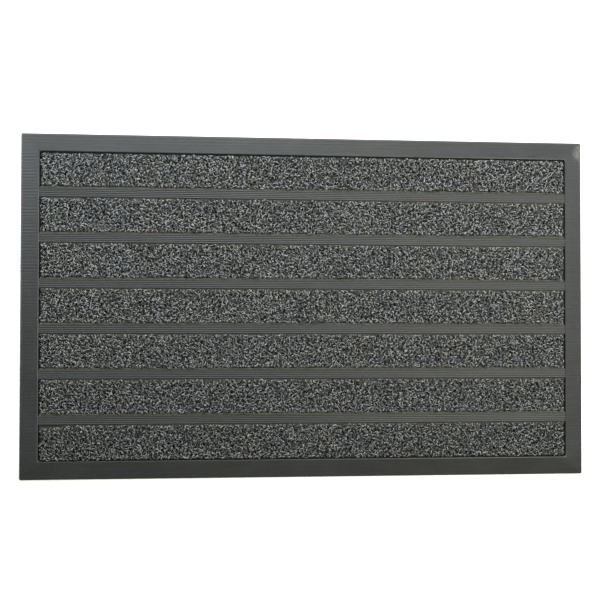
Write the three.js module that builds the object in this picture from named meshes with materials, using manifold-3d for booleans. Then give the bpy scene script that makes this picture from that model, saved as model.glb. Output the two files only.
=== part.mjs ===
// Ribbed door mat: one moulded rubber tray with seven carpet strips bonded into its pockets.
// Millimetres, +Z up. X runs along the strips and Y across them.
// The origin is the centre of the underside, where the mat meets the floor.

import * as THREE from "three";
import { mergeVertices } from "three/addons/utils/BufferGeometryUtils.js";
import Module from "manifold-3d";

// ---------------------------------------------------------------- driving dimensions

// The mat as a whole
const MAT_LENGTH = 750;
const MAT_WIDTH = 450;
const MAT_CORNER_RADIUS = 2;
const STRIP_COUNT = 7;

// The bevelled border: a low outer rim, a slope, and a narrow flat lip round the carpet
const BORDER_WIDTH = 24;
const RIM_HEIGHT = 2.6;
const RIM_CHAMFER = 0.6;
const LIP_HEIGHT = 7.4;
const LIP_WIDTH = 1.2;
const FIELD_CORNER_RADIUS = 3;

// The ribbed bars between the strips
const BAR_WIDTH = 12;
const BAR_DROP = 0.8; // rib crests below the lip
const RIBS_PER_BAR = 5;
const RIB_GROOVE_WIDTH = 1.2;
const RIB_GROOVE_DEPTH = 0.4;

// The sheet of rubber under the strips, and the grip grooves in its underside
const TRAY_FLOOR = 2.4;
const GRIP_PITCH = 25;
const GRIP_GROOVE_WIDTH = 3;
const GRIP_GROOVE_DEPTH = 0.8;
const GRIP_MARGIN = 24; // plain rubber round the grooves

// The layers of a carpet strip
const ADHESIVE_THICKNESS = 0.4;
const BACKING_THICKNESS = 1.4;
const PILE_HEIGHT = 4.8;
const PILE_EDGE_RADIUS = 1.6;

// Clearances
const STRIP_END_GAP = 1.2; // strip end to pocket wall
const STRIP_SIDE_GAP = 0.6; // strip side to bar or lip
const PILE_MARGIN = 0.8; // cut edge of the backing left bare by the pile
const ADHESIVE_MARGIN = 2; // adhesive kept back from the backing's edge
const CUT_OVERSHOOT = 1; // how far a cutting solid runs past the face it opens

// ---------------------------------------------------------------- derived dimensions

const FIELD_LENGTH = MAT_LENGTH - 2 * BORDER_WIDTH;
const FIELD_WIDTH = MAT_WIDTH - 2 * BORDER_WIDTH;
const BAR_COUNT = STRIP_COUNT - 1;
const POCKET_WIDTH = (FIELD_WIDTH - BAR_COUNT * BAR_WIDTH) / STRIP_COUNT;
const STRIP_PITCH = POCKET_WIDTH + BAR_WIDTH;
const BAR_HEIGHT = LIP_HEIGHT - BAR_DROP;
const RIB_PITCH = BAR_WIDTH / RIBS_PER_BAR;

const BACKING_LENGTH = FIELD_LENGTH - 2 * STRIP_END_GAP;
const BACKING_WIDTH = POCKET_WIDTH - 2 * STRIP_SIDE_GAP;
const BACKING_BOTTOM = TRAY_FLOOR + ADHESIVE_THICKNESS;
const PILE_BOTTOM = BACKING_BOTTOM + BACKING_THICKNESS;

// Centre line of strip i, counted from the back edge (+Y) to the front edge (-Y).
const stripY = (i) => ((STRIP_COUNT - 1) / 2 - i) * STRIP_PITCH;
// Centre line of bar i, between strips i and i + 1.
const barY = (i) => stripY(i) - STRIP_PITCH / 2;

// ---------------------------------------------------------------- materials

const rubber = new THREE.MeshStandardMaterial({ color: 0x54575a, roughness: 0.62, metalness: 0 });
const adhesive = new THREE.MeshStandardMaterial({ color: 0x2b2a26, roughness: 0.4, metalness: 0 });
const backingCloth = new THREE.MeshStandardMaterial({ color: 0x4d483c, roughness: 0.95, metalness: 0 });
const pileYarn = new THREE.MeshStandardMaterial({ color: 0x5c5f60, roughness: 0.9, metalness: 0 });

// ---------------------------------------------------------------- solids

const wasm = await Module();
wasm.setup();

// A closed three.js geometry as a manifold-3d solid.
function toSolid(geometry) {
  const bare = geometry.clone();
  bare.deleteAttribute("normal");
  bare.deleteAttribute("uv");
  const merged = mergeVertices(bare, 1e-4);
  return new wasm.Manifold(
    new wasm.Mesh({
      numProp: 3,
      vertProperties: new Float32Array(merged.attributes.position.array),
      triVerts: new Uint32Array(merged.index.array),
    }),
  );
}

// A manifold-3d solid back as a three.js geometry.
function toGeometry(solid) {
  const mesh = solid.getMesh();
  const geometry = new THREE.BufferGeometry();
  geometry.setAttribute("position", new THREE.BufferAttribute(mesh.vertProperties, 3));
  geometry.setIndex(new THREE.BufferAttribute(mesh.triVerts, 1));
  geometry.computeVertexNormals();
  return geometry;
}

// A rectangle with rounded corners, centred on the origin.
function roundedRectangle(length, width, radius) {
  const x = length / 2;
  const y = width / 2;
  const shape = new THREE.Shape();
  shape.absarc(x - radius, y - radius, radius, 0, Math.PI / 2);
  shape.absarc(radius - x, y - radius, radius, Math.PI / 2, Math.PI);
  shape.absarc(radius - x, radius - y, radius, Math.PI, (3 * Math.PI) / 2);
  shape.absarc(x - radius, radius - y, radius, (3 * Math.PI) / 2, 2 * Math.PI);
  return shape;
}

// A flat plate with rounded corners, from bottom to top.
function plate(length, width, radius, bottom, top) {
  const outline = roundedRectangle(length, width, radius);
  const geometry = new THREE.ExtrudeGeometry(outline, {
    depth: top - bottom,
    bevelEnabled: false,
    curveSegments: 6,
  });
  return geometry.translate(0, 0, bottom);
}

// A box from bottom to top, centred on the line y.
function block(length, width, y, bottom, top) {
  return new THREE.BoxGeometry(length, width, top - bottom).translate(0, y, (bottom + top) / 2);
}

// A section drawn in the YZ plane and run along X, centred on the origin.
function runAlongX(section, length) {
  const geometry = new THREE.ExtrudeGeometry(section, {
    depth: length,
    bevelEnabled: false,
    curveSegments: 4,
  });
  const yzxFrame = new THREE.Matrix4().makeBasis(
    new THREE.Vector3(0, 1, 0),
    new THREE.Vector3(0, 0, 1),
    new THREE.Vector3(1, 0, 0),
  );
  return geometry.translate(0, 0, -length / 2).applyMatrix4(yzxFrame);
}

// A closed skin over a stack of outlines, each { inset, z, radius }, all inset from the mat's edge.
// Every outline has the same number of points, so the corners come out mitred.
function stackedOutlines(levels) {
  const loops = levels.map(({ inset, z, radius }) => {
    const outline = roundedRectangle(MAT_LENGTH - 2 * inset, MAT_WIDTH - 2 * inset, radius);
    const points = outline.getPoints(6);
    const closed = points[0].distanceTo(points[points.length - 1]) < 1e-6;
    return (closed ? points.slice(0, -1) : points).map((p) => new THREE.Vector3(p.x, p.y, z));
  });
  const count = loops[0].length;
  const vertices = loops.flat();
  const triangles = [];
  for (let level = 0; level < loops.length - 1; level++) {
    for (let i = 0; i < count; i++) {
      const next = (i + 1) % count;
      const low = level * count;
      const high = low + count;
      triangles.push(low + i, low + next, high + next);
      triangles.push(low + i, high + next, high + i);
    }
  }
  const top = (loops.length - 1) * count;
  for (let i = 1; i < count - 1; i++) {
    triangles.push(0, i + 1, i);
    triangles.push(top, top + i, top + i + 1);
  }
  const geometry = new THREE.BufferGeometry().setFromPoints(vertices);
  return geometry.setIndex(triangles);
}

// ---------------------------------------------------------------- the rubber tray

// The moulding before anything is cut from it: low rim, sloping border and flat lip.
function trayBlank() {
  return stackedOutlines([
    { inset: 0, z: 0, radius: MAT_CORNER_RADIUS },
    { inset: 0, z: RIM_HEIGHT - RIM_CHAMFER, radius: MAT_CORNER_RADIUS },
    { inset: RIM_CHAMFER, z: RIM_HEIGHT, radius: MAT_CORNER_RADIUS },
    { inset: BORDER_WIDTH - LIP_WIDTH, z: LIP_HEIGHT, radius: FIELD_CORNER_RADIUS },
  ]);
}

// The space over the bars, inside the lip.
function fieldCut() {
  const top = LIP_HEIGHT + CUT_OVERSHOOT;
  return plate(FIELD_LENGTH, FIELD_WIDTH, FIELD_CORNER_RADIUS, BAR_HEIGHT, top);
}

// One pocket for a carpet strip. The pockets next to the border keep the lip's corner radius
// on their outer side by being trimmed to the field's outline.
function pocketCut(index, fieldOutline) {
  const top = LIP_HEIGHT + CUT_OVERSHOOT;
  const pocket = toSolid(block(FIELD_LENGTH, POCKET_WIDTH, stripY(index), TRAY_FLOOR, top));
  return pocket.intersect(fieldOutline);
}

// The V grooves that leave rounded ribs along one bar.
function ribGrooves(index) {
  const half = RIB_GROOVE_WIDTH / 2;
  const slope = RIB_GROOVE_DEPTH / half;
  const reach = half + CUT_OVERSHOOT / slope;
  const section = new THREE.Shape([
    new THREE.Vector2(0, BAR_HEIGHT - RIB_GROOVE_DEPTH),
    new THREE.Vector2(reach, BAR_HEIGHT + CUT_OVERSHOOT),
    new THREE.Vector2(-reach, BAR_HEIGHT + CUT_OVERSHOOT),
  ]);
  const grooves = [];
  for (let i = 1; i < RIBS_PER_BAR; i++) {
    const y = barY(index) + (i - RIBS_PER_BAR / 2) * RIB_PITCH;
    grooves.push(runAlongX(section, FIELD_LENGTH).translate(0, y, 0));
  }
  return grooves;
}

// Shallow grooves in the underside, an even number so that the middle stays flat.
function gripGrooves() {
  const length = MAT_LENGTH - 2 * GRIP_MARGIN;
  const half = Math.floor((MAT_WIDTH / 2 - GRIP_MARGIN - GRIP_GROOVE_WIDTH / 2) / GRIP_PITCH + 0.5);
  const grooves = [];
  for (let i = 0; i < 2 * half; i++) {
    const y = (i - half + 0.5) * GRIP_PITCH;
    grooves.push(block(length, GRIP_GROOVE_WIDTH, y, -CUT_OVERSHOOT, GRIP_GROOVE_DEPTH));
  }
  return grooves;
}

function rubberTray() {
  const fieldOutline = toSolid(
    plate(FIELD_LENGTH, FIELD_WIDTH, FIELD_CORNER_RADIUS, 0, LIP_HEIGHT + 2 * CUT_OVERSHOOT),
  );
  let tray = toSolid(trayBlank()).subtract(toSolid(fieldCut()));
  for (let i = 0; i < STRIP_COUNT; i++) tray = tray.subtract(pocketCut(i, fieldOutline));
  for (let i = 0; i < BAR_COUNT; i++)
    for (const groove of ribGrooves(i)) tray = tray.subtract(toSolid(groove));
  for (const groove of gripGrooves()) tray = tray.subtract(toSolid(groove));
  return toGeometry(tray);
}

// ---------------------------------------------------------------- the layers of a strip

// The bed of adhesive that bonds a strip to its pocket floor.
function adhesiveBed(index) {
  const length = BACKING_LENGTH - 2 * ADHESIVE_MARGIN;
  const width = BACKING_WIDTH - 2 * ADHESIVE_MARGIN;
  return block(length, width, stripY(index), TRAY_FLOOR, BACKING_BOTTOM);
}

// The woven and latex-coated backing that holds the yarn.
function backingStrip(index) {
  return block(BACKING_LENGTH, BACKING_WIDTH, stripY(index), BACKING_BOTTOM, PILE_BOTTOM);
}

// The outer shape of the pile: a long pad with rounded upper edges.
function pileStrip(index) {
  const half = BACKING_WIDTH / 2 - PILE_MARGIN;
  const top = PILE_BOTTOM + PILE_HEIGHT;
  const section = new THREE.Shape();
  section.moveTo(-half, PILE_BOTTOM);
  section.lineTo(half, PILE_BOTTOM);
  section.absarc(half - PILE_EDGE_RADIUS, top - PILE_EDGE_RADIUS, PILE_EDGE_RADIUS, 0, Math.PI / 2);
  section.absarc(PILE_EDGE_RADIUS - half, top - PILE_EDGE_RADIUS, PILE_EDGE_RADIUS, Math.PI / 2, Math.PI);
  return runAlongX(section, BACKING_LENGTH - 2 * PILE_MARGIN).translate(0, stripY(index), 0);
}

// ---------------------------------------------------------------- the mat

const mat = new THREE.Group();

function addPiece(name, geometry, material) {
  const piece = new THREE.Mesh(geometry, material);
  piece.name = name;
  mat.add(piece);
}

addPiece("rubber_tray", rubberTray(), rubber);
for (let i = 0; i < STRIP_COUNT; i++) {
  addPiece(`adhesive_bed_${i + 1}`, adhesiveBed(i), adhesive);
  addPiece(`carpet_backing_${i + 1}`, backingStrip(i), backingCloth);
  addPiece(`carpet_pile_${i + 1}`, pileStrip(i), pileYarn);
}

export default mat;
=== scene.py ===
# %% [markdown]
# # A ribbed door mat
# This mat is a rubber tray with seven strips of curly carpet glued into it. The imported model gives
# the true size and place of every piece. The script builds the fine surface round that frame: the
# moulded rubber with its ribs, the woven backings, and nearly sixty thousand curls of yarn.

# %% Load the frame
import math

import bmesh
import bpy
import numpy as np
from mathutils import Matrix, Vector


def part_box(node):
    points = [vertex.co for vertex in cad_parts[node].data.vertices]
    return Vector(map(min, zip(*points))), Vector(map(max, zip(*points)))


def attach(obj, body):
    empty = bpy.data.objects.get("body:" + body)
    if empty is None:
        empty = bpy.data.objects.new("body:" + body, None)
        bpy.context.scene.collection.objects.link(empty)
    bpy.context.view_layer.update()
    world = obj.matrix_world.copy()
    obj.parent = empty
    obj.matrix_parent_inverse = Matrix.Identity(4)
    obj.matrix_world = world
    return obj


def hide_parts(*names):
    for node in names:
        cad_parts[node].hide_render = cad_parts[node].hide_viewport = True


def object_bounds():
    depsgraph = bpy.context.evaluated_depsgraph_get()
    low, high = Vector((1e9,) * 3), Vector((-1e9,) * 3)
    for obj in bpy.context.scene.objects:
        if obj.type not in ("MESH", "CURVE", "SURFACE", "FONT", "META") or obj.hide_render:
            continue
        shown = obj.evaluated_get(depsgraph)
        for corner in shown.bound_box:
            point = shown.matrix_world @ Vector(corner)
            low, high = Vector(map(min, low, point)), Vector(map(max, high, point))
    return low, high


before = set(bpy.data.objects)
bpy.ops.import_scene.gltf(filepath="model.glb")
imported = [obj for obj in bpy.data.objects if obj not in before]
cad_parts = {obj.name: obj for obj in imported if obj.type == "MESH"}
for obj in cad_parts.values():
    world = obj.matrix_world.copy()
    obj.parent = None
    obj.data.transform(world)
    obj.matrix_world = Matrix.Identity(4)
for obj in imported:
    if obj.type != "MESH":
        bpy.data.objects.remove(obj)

cad_low, cad_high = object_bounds()
print("packed model, mm:", [round(1000 * (h - l), 1) for l, h in zip(cad_low, cad_high)])

# %% [markdown]
# ## Sizes
# Everything is in metres, so a millimetre gets a name. Lengths that the frame holds are read from
# the boxes of its nodes, and the few that it doesn't give are written here once, as a maker would
# note them on a drawing.

# %% Sizes from the frame
MM = 0.001
STRIPS = sorted(n[-1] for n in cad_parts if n.startswith("carpet_pile_"))

HALF_LENGTH, HALF_WIDTH, LIP_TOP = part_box("rubber_tray")[1]
backings = [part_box("carpet_backing_" + n) for n in STRIPS]
beds = [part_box("adhesive_bed_" + n) for n in STRIPS]
piles = [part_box("carpet_pile_" + n) for n in STRIPS]
TRAY_FLOOR = beds[0][0].z

BORDER = 24 * MM
BAR = 12 * MM
LIP = 1.2 * MM  # width of the flat lip round the carpet
RIM_TOP = 2.6 * MM  # height of the outer edge
BAR_TOP = LIP_TOP - 0.8 * MM
OUTER_CORNER = 2 * MM
FIELD_CORNER = 3 * MM
RIBS = 5  # on each bar
RIB_DEPTH = 0.4 * MM
RIM_ROUND = 0.6 * MM  # size of the round bevel on the outer edge
LIP_ROUND = 1.0 * MM  # and on the inner edge of the lip
GRIP_MARGIN = 24 * MM  # plain rubber round the grooves under the mat
MOULD_LINES = 3.8 * MM  # from one faint line of the mould to the next

FIELD_X = HALF_LENGTH - BORDER
FIELD_Y = HALF_WIDTH - BORDER
strip_middles = [(low.y + high.y) / 2 for low, high in backings]
bar_middles = [(a + b) / 2 for a, b in zip(strip_middles, strip_middles[1:])]
print("strips:", len(STRIPS), "bars:", len(bar_middles))

# %% [markdown]
# ## Camera
# The mat is seen from almost straight above, from a little left of its middle. A long lens keeps
# the sides nearly parallel. The camera is turned by its three angles rather than by an aim point,
# because the view is slightly off the middle of the mat.

# %% Camera
camera_data = bpy.data.cameras.new("view from above")
camera_data.lens = 72
camera_data.sensor_width = 36
camera = bpy.data.objects.new("view from above", camera_data)
camera.location = (-0.185, -0.028, 1.586)
camera.rotation_euler = [math.radians(a) for a in (1.33, -6.29, 0.08)]
bpy.context.scene.collection.objects.link(camera)
bpy.context.scene.camera = camera

# %% [markdown]
# ## Floor and light
# A product table: a white floor that runs well past the mat, lit faintly from inside as a light
# table is, so that the mat leaves almost no shadow on it. A window stands behind the mat, and a
# soft box hangs above its right half. A cool panel at each side fills in. Together they make each
# side of the border, turned its own way, its own grey.

# %% Floor and light
def soft_light(name, place, size, radiance, tint):
    """A square area light of a given brightness, which shines at the middle of the mat."""
    data = bpy.data.lights.new(name, "AREA")
    data.size = size
    data.energy = 4 * size**2 * radiance
    data.color = tint
    light = bpy.data.objects.new(name, data)
    light.location = place
    light.rotation_euler = (-light.location).to_track_quat("-Z", "Y").to_euler()
    light.visible_camera = False
    bpy.context.scene.collection.objects.link(light)


soft_light("window behind", (0, 1.56, 0.9), 1.0, 9.4, (0.89, 0.96, 1))
soft_light("soft box above the right half", (0.6, 0.1, 1.2), 0.5, 16.6, (1, 0.99, 0.84))
soft_light("cool panel on the left", (-0.75, 0.43, 0.5), 0.5, 5.1, (0.83, 0.92, 1))
soft_light("cool panel low on the right", (1.5, 0.87, 0.44), 1.0, 6.4, (0.76, 0.82, 1))

world = bpy.data.worlds.new("studio")
world.use_nodes = True
world.node_tree.nodes["Background"].inputs["Color"].default_value = (0.95, 1, 0.84, 1)
world.node_tree.nodes["Background"].inputs["Strength"].default_value = 0.15
bpy.context.scene.world = world
bpy.context.scene.view_settings.view_transform = "Standard"

bpy.ops.object.select_all(action="DESELECT")
bpy.ops.mesh.primitive_plane_add(size=30, location=(0, 0, cad_low.z - 0.2 * MM))
floor = bpy.context.active_object
floor.name = "floor"

# %% [markdown]
# ## Writing materials as sums
# A material is a graph of nodes, and most of it is arithmetic. The class below wraps one output of
# a node, so that `1 - mask` or `grain * 0.2` adds the Math node that it stands for. Every other
# node comes from `Finish.node`, which takes its type, its settings and what goes into its sockets.

# %% A small language for materials
class Wire:
    """One value in a material: the output of a node, with arithmetic."""

    def __init__(self, finish, socket):
        self.finish = finish
        self.socket = socket

    def _math(self, operation, first, second):
        return self.finish.node("ShaderNodeMath", {"operation": operation}, {0: first, 1: second})

    def __add__(self, other):
        return self._math("ADD", self, other)

    __radd__ = __add__

    def __sub__(self, other):
        return self._math("SUBTRACT", self, other)

    def __rsub__(self, other):
        return self._math("SUBTRACT", other, self)

    def __mul__(self, other):
        return self._math("MULTIPLY", self, other)

    __rmul__ = __mul__

    def sine(self):
        return self._math("SINE", self, 0.0)

    def absolute(self):
        return self._math("ABSOLUTE", self, 0.0)

    def most(self, other):
        return self._math("MAXIMUM", self, other)

    def pingpong(self, turn):
        """Goes up from 0 to turn, down to 0 again, and so on."""
        return self._math("PINGPONG", self, turn)

    def ramp(self, low, high):
        """0 below low, 1 above high, and smooth between; it falls instead if low is above high."""
        settings = {"interpolation_type": "SMOOTHSTEP"}
        sockets = {"Value": self, "From Min": low, "From Max": high}
        return self.finish.node("ShaderNodeMapRange", settings, sockets)


class Finish:
    """A material while it is being made."""

    def __init__(self, name):
        self.material = bpy.data.materials.new(name)
        self.material.use_nodes = True
        self.tree = self.material.node_tree
        self.tree.nodes.clear()

    def node(self, kind, settings, sockets, out=0):
        made = self.tree.nodes.new(kind)
        for key, value in settings.items():
            setattr(made, key, value)
        for key, value in sockets.items():
            if isinstance(value, Wire):
                self.tree.links.new(value.socket, made.inputs[key])
            else:
                made.inputs[key].default_value = value
        return Wire(self, made.outputs[out])

    def place(self):
        """The point on the object, in metres, and its x, y and z."""
        point = self.node("ShaderNodeTexCoord", {}, {}, out="Object")
        axes = [self.node("ShaderNodeSeparateXYZ", {}, {0: point}, out=a) for a in "XYZ"]
        return point, *axes

    def joined(self, x, y, z):
        """A point from its x, y and z."""
        return self.node("ShaderNodeCombineXYZ", {}, {0: x, 1: y, 2: z})

    def noise(self, point, size, detail=3.0, roughness=0.55):
        """Soft random patches about size metres across, from 0 to 1."""
        sockets = {"Vector": point, "Scale": 1 / size, "Detail": detail, "Roughness": roughness}
        return self.node("ShaderNodeTexNoise", {}, sockets)

    def stored(self, name):
        """A number kept at each point of the mesh."""
        return self.node("ShaderNodeAttribute", {"attribute_name": name}, {}, out="Fac")

    def blend(self, share, first, second):
        """A colour between two colours. Colours are (red, green, blue) or wires."""
        colours = [c if isinstance(c, Wire) else (*c, 1.0) for c in (first, second)]
        sockets = {0: share, 6: colours[0], 7: colours[1]}
        return self.node("ShaderNodeMix", {"data_type": "RGBA"}, sockets, out=2)

    def bump(self, height, depth, over=None):
        """A surface normal from a height of 0 to 1 that stands for depth metres."""
        sockets = {"Height": height, "Distance": depth, "Strength": 1.0}
        if over is not None:
            sockets["Normal"] = over
        return self.node("ShaderNodeBump", {}, sockets)

    def surface(self, **sockets):
        """Ends the material with one Principled surface, and returns the material."""
        named = {key.replace("_", " "): value for key, value in sockets.items()}
        shader = self.node("ShaderNodeBsdfPrincipled", {}, named)
        end = self.tree.nodes.new("ShaderNodeOutputMaterial")
        self.tree.links.new(shader.socket, end.inputs["Surface"])
        return self.material


# %% [markdown]
# ## Floor finish
# The floor only has to be pale and quiet. A trace of uneven tone keeps it from looking like paper.

# %% Floor finish
def floor_finish():
    paint = Finish("white table")
    point, *_ = paint.place()
    tone = paint.blend(paint.noise(point, 0.9), (0.93, 0.93, 0.93), (0.96, 0.96, 0.96))
    glow = (1, 1, 1, 1)
    return paint.surface(Base_Color=tone, Roughness=0.9, Emission_Color=glow, Emission_Strength=0.4)


floor.data.materials.append(floor_finish())

# %% [markdown]
# ## Rubber
# Moulded rubber is nearly black with a faint bloom: paler patches where wax and dust have come to
# the surface. It is neither shiny nor dead matt. The mould leaves a very fine grain, and lines
# along the mat at two pitches, clearest at one end. Both are shallow enough for bump. Dust clings to
# the outer edge, thickest at one corner, where the mat has been picked up and put down. At the two
# ends a paler line is painted on the arris of the lip, a painted highlight. The walls of the pockets
# are painted darker towards their floor, a painted shade, and made rougher there.

# %% Rubber finish
PALE_DUST = (0.13, 0.13, 0.105)
ARRIS_HIGHLIGHT = (0.080, 0.082, 0.081)  # a painted highlight on the arris of the lip


def rubber_finish():
    rubber = Finish("moulded rubber")
    point, x, y, z = rubber.place()
    bloom = rubber.noise(point, 60 * MM, 4.0).ramp(0.35, 0.7)
    mottle = rubber.noise(point, 5 * MM, 5.0, 0.7).ramp(0.3, 0.75)
    streaks = rubber.noise(rubber.joined(x * 0.04, y, 0.0), 3 * MM, 3.0, 0.7).ramp(0.3, 0.7)
    grit = rubber.noise(point, 1.6 * MM, 2.0, 0.7).ramp(0.3, 0.7)
    first = (y * (2 * math.pi / MOULD_LINES)).sine()
    second = (y * (2 * math.pi / (1.19 * MOULD_LINES)) + streaks * 2.0).sine()
    worn_near = y.ramp(-FIELD_Y, -FIELD_Y - 4 * MM) * 0.75
    lines = (first + second) * 0.25 * (1 - worn_near) + 0.5
    share = bloom * 0.2 + mottle * 0.15 + grit * 0.25 + streaks * 0.25 + lines * 0.25
    tone = rubber.blend(share, (0.0205, 0.0208, 0.0202), (0.0410, 0.0418, 0.0410))

    edge = (x.absolute() - HALF_LENGTH).most(y.absolute() - HALF_WIDTH)
    speck = rubber.noise(point, 2.2 * MM, 4.0, 0.75)
    far_and_left = (y - x * 0.3).ramp(-100 * MM, 120 * MM)
    rim_dust = edge.ramp(-2.6 * MM, -0.8 * MM) * speck.ramp(0.25, 0.6) * far_and_left * 0.55

    across = (x - (HALF_LENGTH - 1 * MM)) * (1 / (11.5 * MM))
    along = (y - (HALF_WIDTH - 14 * MM)) * (1 / (12.5 * MM))
    patch = (across * across + along * along + speck * 2.0).ramp(2.2, 1.1)
    crumbs = rubber.noise(point, 2.6 * MM, 3.0, 0.8).ramp(0.42, 0.6)
    corner_dust = patch * (crumbs * 0.8 + 0.15)
    dust = rim_dust.most(corner_dust)
    dusty = rubber.blend(dust, tone, PALE_DUST)

    inwards = (x.absolute() - FIELD_X).most(y.absolute() - FIELD_Y)
    arris_highlight = inwards.ramp(-0.2 * MM, 0.1 * MM) * inwards.ramp(1.3 * MM, 0.8 * MM)
    arris_highlight = arris_highlight * y.ramp(FIELD_Y, FIELD_Y - 12 * MM)  # no painted highlight on the far lip, which faces away from the window
    dashes = (y * (4 * math.pi / MOULD_LINES)).sine().ramp(-0.5, 0.5)
    dashes = dashes * (y.absolute() - FIELD_Y).ramp(0.2 * MM, 0)  # at the two ends only
    # painted highlight: a paler line along the arris of the lip, at the two ends
    with_arris_highlight = rubber.blend(arris_highlight * (0.05 + dashes * 0.22), dusty, ARRIS_HIGHLIGHT)

    inside = inwards.ramp(0.3 * MM, 0)
    # painted shade: the pocket walls are painted darker towards the tray's floor; the same share
    # makes them rougher, as dirt would
    pocket_shade_and_dirt = z.ramp(BAR_TOP - 0.6 * MM, TRAY_FLOOR + 1.5 * MM) * inside
    colour = rubber.blend(pocket_shade_and_dirt * 0.5, with_arris_highlight, (0.006, 0.006, 0.005))

    grain = rubber.noise(point, 0.5 * MM, 3.0, 0.7)
    left_end = (x + FIELD_X).ramp(15 * MM, -15 * MM) * y.ramp(-120 * MM, 180 * MM)
    border_lines = lines * (0.35 + left_end * 0.65) * inwards.ramp(0, 1 * MM)
    normal = rubber.bump(border_lines, 0.14 * MM, over=rubber.bump(grain, 0.03 * MM))
    rough = 0.36 + mottle * 0.08 + dust * 0.4 + pocket_shade_and_dirt * 0.3
    return rubber.surface(Base_Color=colour, Roughness=rough, Normal=normal, Specular_IOR_Level=0.3)


RUBBER = rubber_finish()

# %% [markdown]
# ## Yarn, backing and adhesive
# The yarn is a melange: black, mid grey and pale grey filaments twisted together, so each curl has
# a tone of its own, kept as a number on its points. A curl is painted darker near its root, a
# painted shade where light doesn't reach, and the yarn is painted darker towards the near edge of
# the mat, a painted shade. The backing is a coarse olive brown weave under latex. It shows
# along its long edges, and where the last strip was laid a little askew. Under the pile it is
# painted near black, a painted shade. The adhesive under it is a dark, uneven, slightly shiny coat.

# %% Yarn finish
SKEW_DEPTH, SKEW_LENGTH = 4.5 * MM, 42 * MM  # how far the pile of the last strip is off its backing
STRIP_HALF = (backings[0][1].y - backings[0][0].y) / 2


def from_strip_middle(y):
    """How far a point is across from the middle of the nearest strip."""
    return (y - strip_middles[0]).pingpong((strip_middles[0] - strip_middles[1]) / 2)


def yarn_finish():
    yarn = Finish("curly melange yarn")
    point, x, y, z = yarn.place()
    cloud = yarn.noise(point, 24 * MM, 2.0).ramp(0.36, 0.64)
    long_edge = from_strip_middle(y).ramp(STRIP_HALF - 6 * MM, STRIP_HALF)
    warmth = (cloud * 0.65 + yarn.stored("yarn_warmth") * 0.35).most(long_edge * 0.9)
    dark = yarn.blend(warmth, (0.0070, 0.0074, 0.0078), (0.0085, 0.0083, 0.0074))
    pale = yarn.blend(warmth, (0.373, 0.386, 0.406), (0.398, 0.392, 0.364))
    fleck = yarn.noise(point, 0.7 * MM, 2.0).ramp(0.35, 0.65)
    colour = yarn.blend(yarn.stored("yarn_tone") * (0.75 + fleck * 0.4), dark, pale)
    # painted shade: each curl is painted darker towards its root
    root = z.ramp(piles[0][0].z, piles[0][1].z - 1.2 * MM)
    near_edge_falloff = y.ramp(90 * MM, -200 * MM) * 0.16  # painted shade: the yarn is darker towards the near edge, as if less light reached it
    shown = (0.22 + root * 0.78) * (1 - near_edge_falloff)
    shaded = yarn.blend(shown, (0.004, 0.004, 0.0035), colour)
    strands = yarn.noise(point, 0.25 * MM, 2.0)
    return yarn.surface(
        Base_Color=shaded,
        Roughness=0.62 + fleck * 0.15,
        Normal=yarn.bump(strands, 0.06 * MM),
        Specular_IOR_Level=0.2,
        Sheen_Weight=0.04,
        Sheen_Roughness=0.4,
    )


# %% Backing finish
def backing_finish():
    cloth = Finish("woven backing")
    point, x, y, z = cloth.place()
    threads_per_metre = 2 * math.pi / (1.3 * MM)
    weave = (x * threads_per_metre).sine() * (y * threads_per_metre).sine() * 0.5 + 0.5
    stain = cloth.noise(point, 14 * MM, 4.0).ramp(0.3, 0.7)
    olive = cloth.blend(stain, (0.13, 0.126, 0.104), (0.22, 0.214, 0.180))
    soiled_olive = cloth.blend(stain, (0.045, 0.043, 0.034), (0.070, 0.067, 0.053))

    bare_edge = from_strip_middle(y).ramp(STRIP_HALF - 2.4 * MM, STRIP_HALF - 1.2 * MM)
    bare_edge = bare_edge * (y.absolute() - FIELD_Y).ramp(-2 * MM, -4 * MM)
    last_low, last_high = backings[-1]
    wedge = (last_high.y - y).ramp(SKEW_DEPTH + 1 * MM, SKEW_DEPTH - 1 * MM)
    wedge = wedge * x.ramp(last_low.x + SKEW_LENGTH, last_low.x + 0.6 * SKEW_LENGTH)
    wedge = wedge * (y - last_high.y).ramp(1 * MM, 0)
    # painted shade: away from its bare edges, under the pile, the backing is painted near black
    colour = cloth.blend(bare_edge, (0.010, 0.010, 0.009), olive)
    colour = cloth.blend(wedge, colour, soiled_olive)
    colour = cloth.blend(weave * 0.4, colour, (0.012, 0.011, 0.009))
    rough = 0.9 - weave * 0.08
    return cloth.surface(Base_Color=colour, Roughness=rough, Normal=cloth.bump(weave, 0.2 * MM))


# %% Adhesive finish
def adhesive_finish():
    glue = Finish("contact adhesive")
    point, x, y, z = glue.place()
    smear = glue.noise(point, 8 * MM, 4.0, 0.65)
    colour = glue.blend(smear, (0.018, 0.017, 0.014), (0.045, 0.041, 0.032))
    return glue.surface(
        Base_Color=colour,
        Roughness=0.35 + smear * 0.3,
        Normal=glue.bump(smear, 0.15 * MM),
    )


YARN = yarn_finish()
BACKING = backing_finish()
ADHESIVE = adhesive_finish()
for strip in STRIPS:
    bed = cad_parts["adhesive_bed_" + strip]
    bed.data.materials.clear()
    bed.data.materials.append(ADHESIVE)

# %% [markdown]
# ## Tools for modelling
# By hand, one would click on faces and edges. A script picks them by where they are. These helpers
# select by a test on each element, and leave a finished piece with its place in its mesh.

# %% Tools for modelling
def begin_editing(piece):
    bpy.ops.object.select_all(action="DESELECT")
    piece.select_set(True)
    bpy.context.view_layer.objects.active = piece
    bpy.ops.object.mode_set(mode="EDIT")


def finish_editing(piece):
    bpy.ops.object.mode_set(mode="OBJECT")
    bpy.ops.object.transform_apply(location=True, rotation=True, scale=True)
    piece.select_set(False)


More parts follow.
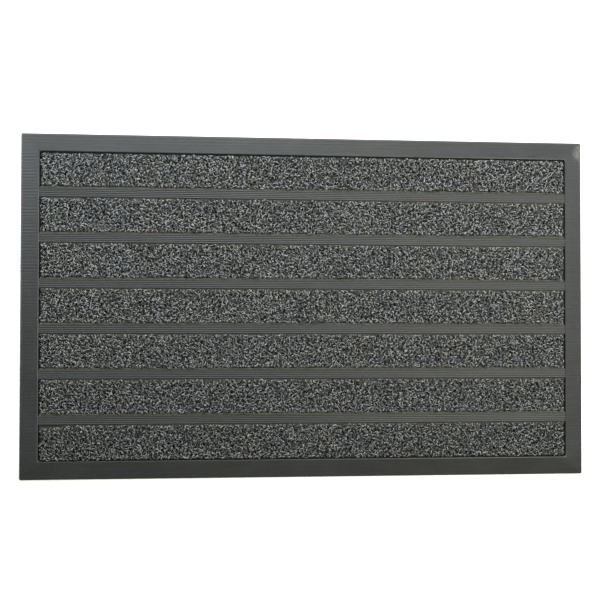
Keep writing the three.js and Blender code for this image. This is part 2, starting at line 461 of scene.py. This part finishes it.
def pick(kind, test):
    """Selects just the verts, edges or faces of the edited mesh for which test is true."""
    bpy.ops.mesh.select_mode(type={"verts": "VERT", "edges": "EDGE", "faces": "FACE"}[kind])
    bpy.ops.mesh.select_all(action="DESELECT")
    mesh = bpy.context.edit_object.data
    shape = bmesh.from_edit_mesh(mesh)
    chosen = [part for part in getattr(shape, kind) if test(part)]
    for part in chosen:
        part.select_set(True)
    shape.select_flush_mode()
    bmesh.update_edit_mesh(mesh)
    return len(chosen)


HAIR = 0.02 * MM  # two places that are closer than this are the same place
CLOSE = 0.1 * MM  # and a point this far outside a region still counts as in it
LOOKS_UP = 0.9  # a face looks up, or down, if its normal has more of Z than this
UPRIGHT = 0.1  # and it is upright if its normal has less of Z than this
SLOPING = (0.95, 0.995)  # the Z of the normals of the border's slopes is between these


def near(a, b, slack=HAIR):
    return abs(a - b) < slack


def both_ends(edge, test):
    return all(test(v.co) for v in edge.verts)


def move_down(depth):
    bpy.ops.transform.translate(value=(0, 0, -depth))


def push_in(depth):
    """Extrudes the selected faces straight down, which leaves upright walls."""
    bpy.ops.mesh.extrude_region_move(TRANSFORM_OT_translate={"value": (0, 0, -depth)})


# %% [markdown]
# ## The rubber tray: blank and field
# The tray starts as a thin box. Its top face is inset and raised in one move, which makes four
# sloping sides that meet in mitres, as the real border does. One more inset makes the flat lip,
# and the face inside it is pushed down to the level of the bars. The upright edges are then rounded.

# %% Tray blank
bpy.ops.object.select_all(action="DESELECT")
bpy.ops.mesh.primitive_cube_add(
    size=1, location=(0, 0, RIM_TOP / 2), scale=(2 * HALF_LENGTH, 2 * HALF_WIDTH, RIM_TOP)
)
tray = bpy.context.active_object
tray.name = "moulded_tray"
bpy.ops.object.transform_apply(location=True, rotation=True, scale=True)
begin_editing(tray)

pick("faces", lambda f: f.normal.z > LOOKS_UP)
bpy.ops.mesh.inset(thickness=BORDER - LIP, depth=LIP_TOP - RIM_TOP)
bpy.ops.mesh.inset(thickness=LIP, depth=0)
push_in(LIP_TOP - BAR_TOP)
pick("faces", lambda f: f.normal.z < -LOOKS_UP)
bpy.ops.mesh.inset(thickness=GRIP_MARGIN, depth=0)


def upright_at(half_x, half_y):
    def test(edge):
        a, b = (v.co for v in edge.verts)
        upright = near(a.x, b.x) and near(a.y, b.y)
        return upright and near(abs(a.x), half_x) and near(abs(a.y), half_y)

    return test


corner_count = pick("edges", upright_at(FIELD_X, FIELD_Y))
bpy.ops.mesh.bevel(offset=FIELD_CORNER, segments=6, affect="EDGES")
corner_count += pick("edges", upright_at(HALF_LENGTH, HALF_WIDTH))
bpy.ops.mesh.bevel(offset=OUTER_CORNER, segments=6, affect="EDGES")
print("upright corners rounded:", corner_count)

# %% [markdown]
# ## The rubber tray: pockets and ribs
# The field is cut across at the edge of every bar, and the seven faces between the bars go down to
# the tray's floor. The end edges of each bar are divided, which lays lines along it, and lowering
# the lines by how close they are to a groove turns the flat bar into rounded ribs.

# %% Pockets
def field_face(face):
    return face.normal.z > LOOKS_UP and near(face.calc_center_median().z, BAR_TOP)


for middle in bar_middles:
    for side in (-1, 1):
        pick("faces", field_face)
        bpy.ops.mesh.bisect(plane_co=(0, middle + side * BAR / 2, 0), plane_no=(0, 1, 0))


def pocket_face(face):
    height = face.calc_center_median().y
    return field_face(face) and all(abs(height - m) > BAR / 2 for m in bar_middles)


print("pockets:", pick("faces", pocket_face))
push_in(BAR_TOP - TRAY_FLOOR)

# %% Ribs
LINES_PER_RIB = 8


def bar_end(edge):
    def on_end(co):
        return near(co.z, BAR_TOP) and near(abs(co.x), FIELD_X)

    middle = (edge.verts[0].co.y + edge.verts[1].co.y) / 2
    return both_ends(edge, on_end) and any(near(middle, m) for m in bar_middles)


print("bar ends:", pick("edges", bar_end))
bpy.ops.mesh.subdivide(number_cuts=RIBS * LINES_PER_RIB - 1)


def lines_from_groove(co):
    """How many lines a point on a bar is from the middle of the nearest groove."""
    middle = min(bar_middles, key=lambda m: abs(m - co.y))
    across = (co.y - middle + BAR / 2) / BAR * RIBS * LINES_PER_RIB
    place = round(across) % LINES_PER_RIB
    return min(place, LINES_PER_RIB - place)


def on_bar(co):
    return near(co.z, BAR_TOP) and min(abs(co.y - m) for m in bar_middles) < BAR / 2 + HAIR


for line in range(LINES_PER_RIB // 2):
    fall = RIB_DEPTH * (1 + math.cos(2 * math.pi * line / LINES_PER_RIB)) / 2
    pick("verts", lambda v: on_bar(v.co) and lines_from_groove(v.co) == line)
    move_down(fall)

# %% [markdown]
# ## The rubber tray: edges and underside
# Rubber leaves its mould with no sharp edges, so the outer rim and the inner edge of the lip get
# small round bevels. The slopes meet in mitres that look soft, so each slope is cut across near its
# ends, and only those short ends share their shading with the next slope. At the two ends of the mat
# the lip is also finely notched, by cutting it across at an even pitch and lowering every other
# line. Under the mat, shallow grooves keep it from sliding: the bottom is cut across, and every
# other face is pushed up.

# %% Rounded edges
def rim_edge(edge):
    return both_ends(edge, lambda co: near(co.z, RIM_TOP) and outer(co))


def outer(co):
    along = abs(co.x) > HALF_LENGTH - OUTER_CORNER - CLOSE
    across = abs(co.y) > HALF_WIDTH - OUTER_CORNER - CLOSE
    return along or across


def inner_lip_edge(edge):
    """The edge where the lip's flat top meets the upright wall of the field."""
    wall, flat = sorted(abs(f.normal.z) for f in edge.link_faces)
    return both_ends(edge, lambda co: near(co.z, LIP_TOP)) and flat > LOOKS_UP and wall < UPRIGHT


print("rim edges:", pick("edges", rim_edge))
bpy.ops.mesh.bevel(offset=RIM_ROUND, segments=3, affect="EDGES")
print("lip edges:", pick("edges", inner_lip_edge))
bpy.ops.mesh.bevel(offset=LIP_ROUND, segments=4, affect="EDGES")

# %% Soft mitres
MITRE_REACH = 16 * MM  # how far past the lip the shading of a mitre is felt


def slope_face(face):
    middle = face.calc_center_median()
    outside = abs(middle.x) > FIELD_X + LIP or abs(middle.y) > FIELD_Y + LIP
    return outside and SLOPING[0] < face.normal.z < SLOPING[1]


for side in (-1, 1):
    pick("faces", slope_face)
    bpy.ops.mesh.bisect(plane_co=(side * (FIELD_X - MITRE_REACH), 0, 0), plane_no=(1, 0, 0))
    pick("faces", slope_face)
    bpy.ops.mesh.bisect(plane_co=(0, side * (FIELD_Y - MITRE_REACH), 0), plane_no=(0, 1, 0))
print("faces of the slopes:", pick("faces", slope_face))

# %% Notched lip
NOTCH_PITCH = MOULD_LINES / 2
NOTCH_DEPTH = 0.35 * MM


def lip_end_face(face):
    middle = face.calc_center_median()
    on_end = FIELD_X - CLOSE < abs(middle.x) < FIELD_X + LIP
    return on_end and middle.z > LIP_TOP - LIP_ROUND - CLOSE and face.normal.z > UPRIGHT


notch_count = int((FIELD_Y - FIELD_CORNER) / NOTCH_PITCH)
for line in range(-notch_count, notch_count + 1):
    pick("faces", lip_end_face)
    bpy.ops.mesh.bisect(plane_co=(0, line * NOTCH_PITCH, 0), plane_no=(0, 1, 0))


def in_notch(co):
    line = round(co.y / NOTCH_PITCH)
    on_line = near(co.y, line * NOTCH_PITCH, HAIR / 2) and abs(line) < notch_count
    on_lip = FIELD_X - CLOSE < abs(co.x) < FIELD_X + LIP - CLOSE
    return on_line and line % 2 == 1 and on_lip and co.z > LIP_TOP - LIP_ROUND - CLOSE


print("points lowered in notches:", pick("verts", lambda v: in_notch(v.co)))
move_down(NOTCH_DEPTH)

# %% Grip grooves
GRIP_PITCH = 25 * MM
GRIP_GROOVE = 3 * MM
GRIP_DEPTH = 0.8 * MM


def bottom_inside(face):
    middle = face.calc_center_median()
    inside = abs(middle.x) < FIELD_X and abs(middle.y) < HALF_WIDTH - GRIP_MARGIN
    return face.normal.z < -LOOKS_UP and near(middle.z, 0) and inside


grip_rows = 2 * int((HALF_WIDTH - GRIP_MARGIN - GRIP_GROOVE / 2) / GRIP_PITCH + 0.5)
grip_middles = [(i - (grip_rows - 1) / 2) * GRIP_PITCH for i in range(grip_rows)]
for middle in grip_middles:
    for side in (-1, 1):
        pick("faces", bottom_inside)
        bpy.ops.mesh.bisect(plane_co=(0, middle + side * GRIP_GROOVE / 2, 0), plane_no=(0, 1, 0))


def grip_face(face):
    height = face.calc_center_median().y
    return bottom_inside(face) and any(near(height, m) for m in grip_middles)


print("grip grooves:", pick("faces", grip_face))
push_in(-GRIP_DEPTH)
finish_editing(tray)

# %% Shading of the tray
CRISP = math.radians(32)  # an edge that turns by more than this is shaded crisp
tray.select_set(True)
bpy.ops.object.shade_smooth_by_angle(angle=CRISP)


def slope_border(edge):
    """The edge where a slope meets the lip or the rim, which is seen as a line."""
    return sum(slope_face(f) for f in edge.link_faces) == 1


begin_editing(tray)
print("edges of the slopes:", pick("edges", slope_border))
bpy.ops.mesh.mark_sharp()
finish_editing(tray)
tray.data.materials.append(RUBBER)
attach(tray, "root")
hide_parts("rubber_tray")
print("tray faces:", len(tray.data.polygons))

# %% [markdown]
# ## The backings
# Each strip is held by a backing cloth, cut from a roll, so its edges aren't quite straight. It is
# a fine grid whose outer points are nudged at random, and then given its thickness. The channel is
# a snug fit, so the stiff latex along the two long edges is turned up a little.

# %% Backings
EDGE_BAND = 1.2 * MM  # width of the stiff edge that is turned up
TURNED_UP = 1.2 * MM  # by how much it rises
LEAN_OUT = 0.3 * MM  # and by how much it leans towards the bar
CUT_BACK = 0.3 * MM  # the cloth is this much smaller than its strip, to leave room for the nudges
NUDGE = 0.22 * MM
CELLS_ALONG, CELLS_ACROSS = 240, 10


def backing_cloth(number, low, high):
    size = high - low
    bpy.ops.object.select_all(action="DESELECT")
    bpy.ops.mesh.primitive_grid_add(
        x_subdivisions=CELLS_ALONG,
        y_subdivisions=CELLS_ACROSS,
        size=1,
        location=((low.x + high.x) / 2, (low.y + high.y) / 2, low.z),
    )
    cloth = bpy.context.active_object
    cloth.name = f"woven_backing_{number}"
    cloth.scale = (size.x - CUT_BACK, size.y - CUT_BACK, 1)
    bpy.ops.object.transform_apply(location=True, rotation=True, scale=True)
    begin_editing(cloth)
    for side in (low.y + EDGE_BAND, high.y - EDGE_BAND):
        pick("faces", lambda f: True)
        bpy.ops.mesh.bisect(plane_co=(0, side, 0), plane_no=(0, 1, 0))
    pick("verts", lambda v: v.is_boundary)
    bpy.ops.transform.vertex_random(offset=NUDGE, seed=int(number))
    pick("verts", lambda v: True)
    bpy.ops.mesh.extrude_region_move(TRANSFORM_OT_translate={"value": (0, 0, size.z)})
    pick("faces", lambda f: True)
    bpy.ops.mesh.normals_make_consistent(inside=False)
    for side, outer_y in ((-1, low.y), (1, high.y)):
        pick("verts", lambda v: abs(v.co.y - outer_y) < EDGE_BAND / 2)
        bpy.ops.transform.translate(value=(0, side * LEAN_OUT, TURNED_UP))
    finish_editing(cloth)
    cloth.data.materials.append(BACKING)
    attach(cloth, "root")
    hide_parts("carpet_backing_" + number)
    return cloth


backing_cloths = [backing_cloth(n, *box) for n, box in zip(STRIPS, backings)]
print("backings:", len(backing_cloths))

# %% [markdown]
# ## The curls
# A curl of yarn springs from the backing, arches over in a ring, a hook or a double bend, and dives
# back in. A handful of such shapes is enough: each is a three-sided tube along a path worked out by
# a formula, with few faces because there will be thousands of copies. All have the same faces in
# the same order, so one list of faces serves them all.

# %% The section of the yarn
CURL_POINTS = 6
CURL_SIDES = 3
YARN_RADIUS = 0.62 * MM
THINNER_ENDS = 0.6  # of the full thickness, where a curl goes into the backing
FLAT_TOP = 0.55  # a power under 1 makes a curl rise steeply and run level on top
pile_depth = piles[0][1].z - piles[0][0].z


def line_curve(name, points, closed):
    """A curve object of straight stretches through the points."""
    data = bpy.data.curves.new(name, "CURVE")
    data.dimensions = "3D"
    spline = data.splines.new("POLY")
    spline.points.add(len(points) - 1)
    for point, place in zip(spline.points, points):
        point.co = (*place, 1)
    spline.use_cyclic_u = closed
    line = bpy.data.objects.new(name, data)
    bpy.context.scene.collection.objects.link(line)
    return line


section_angles = [2 * math.pi * i / CURL_SIDES for i in range(CURL_SIDES)]
section_points = [(YARN_RADIUS * math.cos(a), YARN_RADIUS * math.sin(a), 0) for a in section_angles]
yarn_section = line_curve("section of the yarn", section_points, closed=True)


# %% Shapes of curl
def ring_path(turn, radius):
    """Points of an arch that turns by so many degrees, seen from above."""
    steps = np.linspace(0, 1, CURL_POINTS)
    angles = math.radians(turn) * (steps - 0.5)
    x = radius * np.sin(angles)
    y = radius * (np.cos(angles) - 0.5 - 0.5 * math.cos(angles[0]))
    return raised(x, y, steps)


def wavy_path(length, swing):
    """Points of an arch that swings once to each side, seen from above."""
    steps = np.linspace(0, 1, CURL_POINTS)
    x = length * (steps - 0.5)
    y = swing * np.sin(2 * math.pi * steps)
    return raised(x, y, steps)


def raised(x, y, steps):
    """Lifts a path off the backing, up to the top of the pile and down again."""
    z = (pile_depth - YARN_RADIUS) * np.sin(math.pi * steps) ** FLAT_TOP
    return np.stack([x, y, z], axis=1)


def curl_shape(name, path):
    """The points and the faces of a tube along the path."""
    curl = line_curve(name, path, closed=False)
    curl.data.bevel_mode = "OBJECT"
    curl.data.bevel_object = yarn_section
    ends = curl.data.splines[0].points
    ends[0].radius = ends[-1].radius = THINNER_ENDS
    bpy.ops.object.select_all(action="DESELECT")
    curl.select_set(True)
    bpy.context.view_layer.objects.active = curl
    bpy.ops.object.convert(target="MESH")
    shape = bpy.context.active_object
    begin_editing(shape)
    bpy.ops.mesh.select_all(action="SELECT")
    bpy.ops.mesh.fill_holes(sides=CURL_SIDES)
    bpy.ops.mesh.normals_make_consistent(inside=False)
    finish_editing(shape)
    points = np.array([v.co for v in shape.data.vertices])
    faces = [tuple(p.vertices) for p in shape.data.polygons]
    bpy.data.objects.remove(shape)
    return points, faces


curl_paths = {
    "ring": ring_path(320, 1.3 * MM),
    "hook": ring_path(235, 1.6 * MM),
    "arc": ring_path(155, 2.2 * MM),
    "long_arc": ring_path(85, 3.9 * MM),
    "double_bend": wavy_path(5.0 * MM, 1.0 * MM),
    "double_bend_back": wavy_path(5.0 * MM, -1.0 * MM),
}
CURL_SHARES = (0.12, 0.20, 0.22, 0.14, 0.16, 0.16)  # of these shapes, in their order
made_curls = [curl_shape(name, path) for name, path in curl_paths.items()]
bpy.data.objects.remove(yarn_section)
curl_points = np.array([points for points, faces in made_curls])
curl_faces = made_curls[0][1]
assert all(faces == curl_faces for points, faces in made_curls)
print("points and faces of a curl:", curl_points.shape[1], len(curl_faces))

# %% [markdown]
# ## The pile
# Two yarns are tufted into one backing, a dark one and a pale one, and together they give the salt
# and pepper look. Copying thousands of objects would choke the scene, so each yarn of each strip is
# one mesh. Curls are dealt out on a loose grid over the strip. Each is turned, tilted, stretched and
# pressed down a little by seeded chance, and gets its own tone. Curls that would hang too far over
# the cut edge of the strip are nudged back onto it. The first strip's curls stop short of the far
# lip, and the last strip's reach almost to the near one but leave a wedge of their backing bare. A
# colour map of its own gives every curl one cell, so the tones survive when the model is exported.

# %% Dealing out the curls
CURLS_OF_A_YARN = 4100  # in one strip
STRETCHED = (0.8, 1.15)  # least and most, times the length and width of a curl
PRESSED_DOWN = (0.74, 1.0)  # least and most, times its height
LEANING = 0.16  # the usual lean, in radians


def deal_places(chance, low, high):
    """Jittered grid places for the curls of one yarn, as rows of x, y."""
    length, width = high.x - low.x, high.y - low.y
    rows = round(math.sqrt(CURLS_OF_A_YARN * width / length))
    columns = CURLS_OF_A_YARN // rows
    column, row = np.meshgrid(np.arange(columns), np.arange(rows))
    x = (column + 0.5 * (row % 2) + chance.uniform(0, 1, column.shape)) / (columns + 0.5)
    y = (row + chance.uniform(0, 1, row.shape)) / rows
    return np.stack([low.x + length * x.ravel(), low.y + width * y.ravel()], axis=1)


def shaken(points, chance):
    """Every copy stretched, pressed down, turned about Z and leant over by its own amount."""
    count = len(points)
    spread, press = chance.uniform(*STRETCHED, count), chance.uniform(*PRESSED_DOWN, count)
    points = points * np.stack([spread, spread, press], axis=1)[:, None, :]
    turn, lean_to = chance.uniform(0, 2 * math.pi, (2, count, 1))
    lean = points[:, :, 2] * np.tan(chance.normal(0, LEANING, (count, 1)))
    x = points[:, :, 0] * np.cos(turn) - points[:, :, 1] * np.sin(turn) + lean * np.cos(lean_to)
    y = points[:, :, 0] * np.sin(turn) + points[:, :, 1] * np.cos(turn) + lean * np.sin(lean_to)
    return np.stack([x, y, points[:, :, 2]], axis=2)


def kept_on_strip(points, lowest, highest):
    """Moves whole curls so that none reaches past the lowest and highest x, y of its own copy."""
    flat = points[:, :, :2]
    over = np.maximum(flat.max(axis=1) - highest, 0)
    under = np.maximum(lowest - flat.min(axis=1), 0)
    points[:, :, :2] += (under - over)[:, None, :]
    return points


# %% One mesh from many copies
def mesh_of_copies(name, points, faces):
    """points is copies x points x 3, and faces is the list of faces that every copy has."""
    copies, per_copy = points.shape[:2]
    corners = np.concatenate(faces)
    starts = np.cumsum([0] + [len(f) for f in faces[:-1]])
    step = np.arange(copies)[:, None]
    mesh = bpy.data.meshes.new(name)
    mesh.vertices.add(copies * per_copy)
    mesh.vertices.foreach_set("co", points.ravel())
    mesh.loops.add(copies * len(corners))
    mesh.loops.foreach_set("vertex_index", (corners + per_copy * step).ravel())
    mesh.polygons.add(copies * len(faces))
    mesh.polygons.foreach_set("loop_start", (starts + len(corners) * step).ravel())
    mesh.polygons.foreach_set("use_smooth", np.ones(copies * len(faces), bool))
    mesh.update(calc_edges=True)
    return mesh


def keep_number(mesh, name, numbers):
    """Keeps one number for each copy on all of that copy's points."""
    stored = mesh.attributes.new(name, "FLOAT", "POINT")
    stored.data.foreach_set("value", np.repeat(numbers, len(mesh.vertices) // len(numbers)))


CELL_MARGIN = 0.12  # of a cell, left empty round its curl


def colour_cells(mesh, copies):
    """A map that gives every curl a cell: across it along the yarn, up it round the yarn."""
    corners = []
    for face in curl_faces:
        sides = [v % CURL_SIDES for v in face]
        closes_round = 0 in sides and CURL_SIDES - 1 in sides
        for v, side in zip(face, sides):
            side = CURL_SIDES if closes_round and side == 0 else side
            corners.append((v // CURL_SIDES / (CURL_POINTS - 1), side / CURL_SIDES))
    cells_across = math.ceil(math.sqrt(copies))
    number = np.arange(copies)
    cell = np.stack([number % cells_across, number // cells_across], axis=1)
    in_cell = CELL_MARGIN + (1 - 2 * CELL_MARGIN) * np.array(corners)
    places = (in_cell[None, :, :] + cell[:, None, :]) / cells_across
    layer = mesh.uv_layers.new(name="OFBake")
    layer.data.foreach_set("uv", places.ravel())


# %% The two yarns of the seven strips
FRAYED = 0.35 * MM  # how unevenly the curls end at the edges of the pile
OVERHANG = 0.5 * MM  # of the curls over the far edge of the pile
LEFT_OVERHANG, RIGHT_OVERHANG = 1.0 * MM, 0.3 * MM  # and over its ends
SHORT_OF_EDGE = 0.6 * MM  # of the curls at the near edge
GAP_AT_FAR_LIP = 1.1 * MM  # by how much more the first strip's curls stop short of the far lip
REACH_TO_NEAR_LIP = 0.9 * MM  # by how much further the last strip's curls reach to the near lip
YARNS = {"dark": (0.0, 0.16), "pale": (0.18, 0.95)}  # the range of tones of each


def curly_pile(yarn, number, low, high):
    chance = np.random.default_rng(100 * list(YARNS).index(yarn) + int(number))
    places = deal_places(chance, low, high)
    count = len(places)
    which = chance.choice(len(curl_points), count, p=CURL_SHARES)
    points = shaken(curl_points[which], chance)
    points[:, :, :2] += places[:, None, :]
    points[:, :, 2] += low.z
    lowest = np.array([low.x - LEFT_OVERHANG, low.y + SHORT_OF_EDGE])
    lowest = lowest + chance.normal(0, FRAYED, (count, 2))
    highest = np.array([high.x + RIGHT_OVERHANG, high.y + OVERHANG])
    highest = highest + chance.normal(0, FRAYED, (count, 2))
    if number == STRIPS[0]:
        highest[:, 1] -= GAP_AT_FAR_LIP
    if number == STRIPS[-1]:
        from_end = (places[:, 0] - low.x) / SKEW_LENGTH
        highest[:, 1] -= SKEW_DEPTH * np.clip(1 - from_end, 0, 1)
        lowest[:, 1] -= REACH_TO_NEAR_LIP
    points = kept_on_strip(points, lowest, highest)
    mesh = mesh_of_copies(f"{yarn}_curls_{number}", points, curl_faces)
    keep_number(mesh, "yarn_tone", chance.uniform(*YARNS[yarn], count))
    keep_number(mesh, "yarn_warmth", np.clip(chance.normal(0.5, 0.3, count), 0, 1))
    colour_cells(mesh, count)
    pile = bpy.data.objects.new(mesh.name, mesh)
    bpy.context.scene.collection.objects.link(pile)
    mesh.materials.append(YARN)
    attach(pile, "root")
    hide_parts("carpet_pile_" + number)
    return pile


strip_piles = [[curly_pile(yarn, n, *box) for yarn in YARNS] for n, box in zip(STRIPS, piles)]
curl_total = sum(len(p.data.polygons) for pair in strip_piles for p in pair) // len(curl_faces)
print("curls of yarn:", curl_total)
